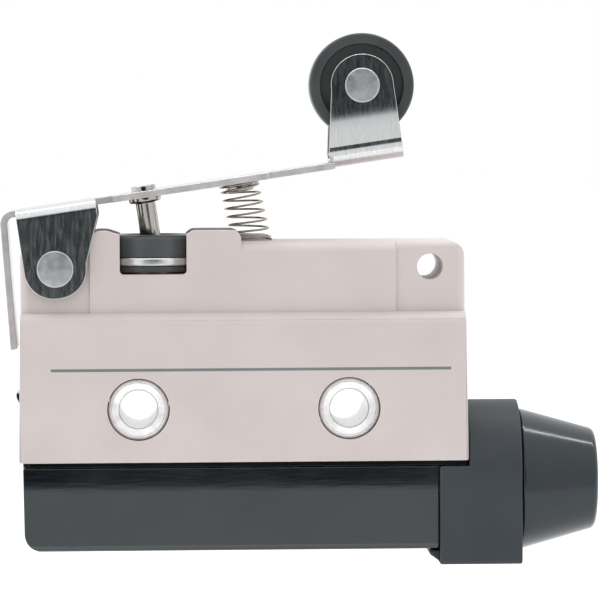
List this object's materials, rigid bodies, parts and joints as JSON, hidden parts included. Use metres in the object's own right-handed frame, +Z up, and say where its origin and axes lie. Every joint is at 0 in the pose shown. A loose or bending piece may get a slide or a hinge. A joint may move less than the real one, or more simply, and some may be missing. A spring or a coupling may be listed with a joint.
{
  "type": "roller lever limit switch",
  "caption": "Flat limit switch with a sprung steel roller lever on top, through holes across the body, a swing-down terminal cover and a side cable outlet.",
  "frame": {"origin": "on the rear mounting face, midway between the two mounting holes", "axes": "+X along the body towards the cable outlet, +Y out of the rear mounting face, +Z up towards the lever"},
  "size_m": [0.0724, 0.0174, 0.0644],
  "materials": {
    "body_plastic": "semi-matte moulded, pale warm grey",
    "cover_plastic": "glossy black moulded",
    "block_plastic": "matte dark grey moulded",
    "seal_rubber": "smooth dark grey rubber",
    "roller_plastic": "smooth dark grey nylon",
    "lever_steel": "rolled stainless sheet",
    "pin_steel": "bright turned steel",
    "spring_steel": "drawn spring wire",
    "contact_brass": "rolled brass strip",
    "contact_silver": "silver alloy",
    "base_plastic": "brown phenolic",
    "slider_plastic": "natural acetal"
  },
  "bodies": {
    "housing": {"housing": "body_plastic", "bush_left": "pin_steel", "bush_right": "pin_steel", "plunger_guide": "contact_brass", "seal_boot": "seal_rubber", "seal_ring": "pin_steel", "return_spring": "spring_steel", "cover_gasket": "seal_rubber", "conduit_block": "block_plastic", "cable_grommet": "seal_rubber", "arm_pivot_pin": "pin_steel", "contact_spring": "spring_steel", "com_terminal": "contact_brass", "no_terminal": "contact_brass", "nc_terminal": "contact_brass", "no_contact": "contact_silver", "nc_contact": "contact_silver", "terminal_base": "base_plastic", "terminal_screw_1": "pin_steel", "terminal_screw_2": "pin_steel", "terminal_screw_3": "pin_steel", "clamp_washer_1": "pin_steel", "clamp_washer_2": "pin_steel", "clamp_washer_3": "pin_steel"},
    "lever": {"lever": "lever_steel", "pivot_pin": "pin_steel", "actuating_pin": "pin_steel", "spring_stud": "pin_steel", "roller_pin": "pin_steel"},
    "roller": {"roller": "roller_plastic"},
    "plunger": {"plunger": "slider_plastic"},
    "contact_arm": {"contact_arm": "contact_brass", "moving_contact": "contact_silver"},
    "cover": {"terminal_cover": "cover_plastic"}
  },
  "joints": [
    {"name": "lever_pivot", "type": "hinge", "parent": "housing", "child": "lever", "pos_m": [-0.0226, -0.0087, 0.01697], "axis": [0, 1, 0], "range_deg": [0, 11], "stiffness_Nm_per_rad": 0.5, "springref_deg": -8.59, "deforming": ["return_spring", "seal_boot"]},
    {"name": "roller_spin", "type": "hinge", "parent": "lever", "child": "roller", "pos_m": [0.01469, -0.0087, 0.03892], "axis": [0, 1, 0], "continuous": true},
    {"name": "plunger_travel", "type": "slide", "parent": "housing", "child": "plunger", "axis": [0, 0, -1], "range_m": [0, 0.0024]},
    {"name": "contact_flip", "type": "hinge", "parent": "housing", "child": "contact_arm", "pos_m": [0.014, -0.0087, 0.0106], "axis": [0, -1, 0], "range_deg": [0, 5.6], "deforming": ["contact_spring"]},
    {"name": "cover_swing", "type": "hinge", "parent": "housing", "child": "cover", "pos_m": [0.0224, -0.0087, -0.0173], "axis": [0, -1, 0], "range_deg": [0, 30]}
  ],
  "couplings": [
    {"joint": "plunger_travel", "follows": "lever_pivot", "m_per_rad": 0.0119},
    {"joint": "contact_flip", "follows": "lever_pivot", "ratio": 0.49}
  ]
}
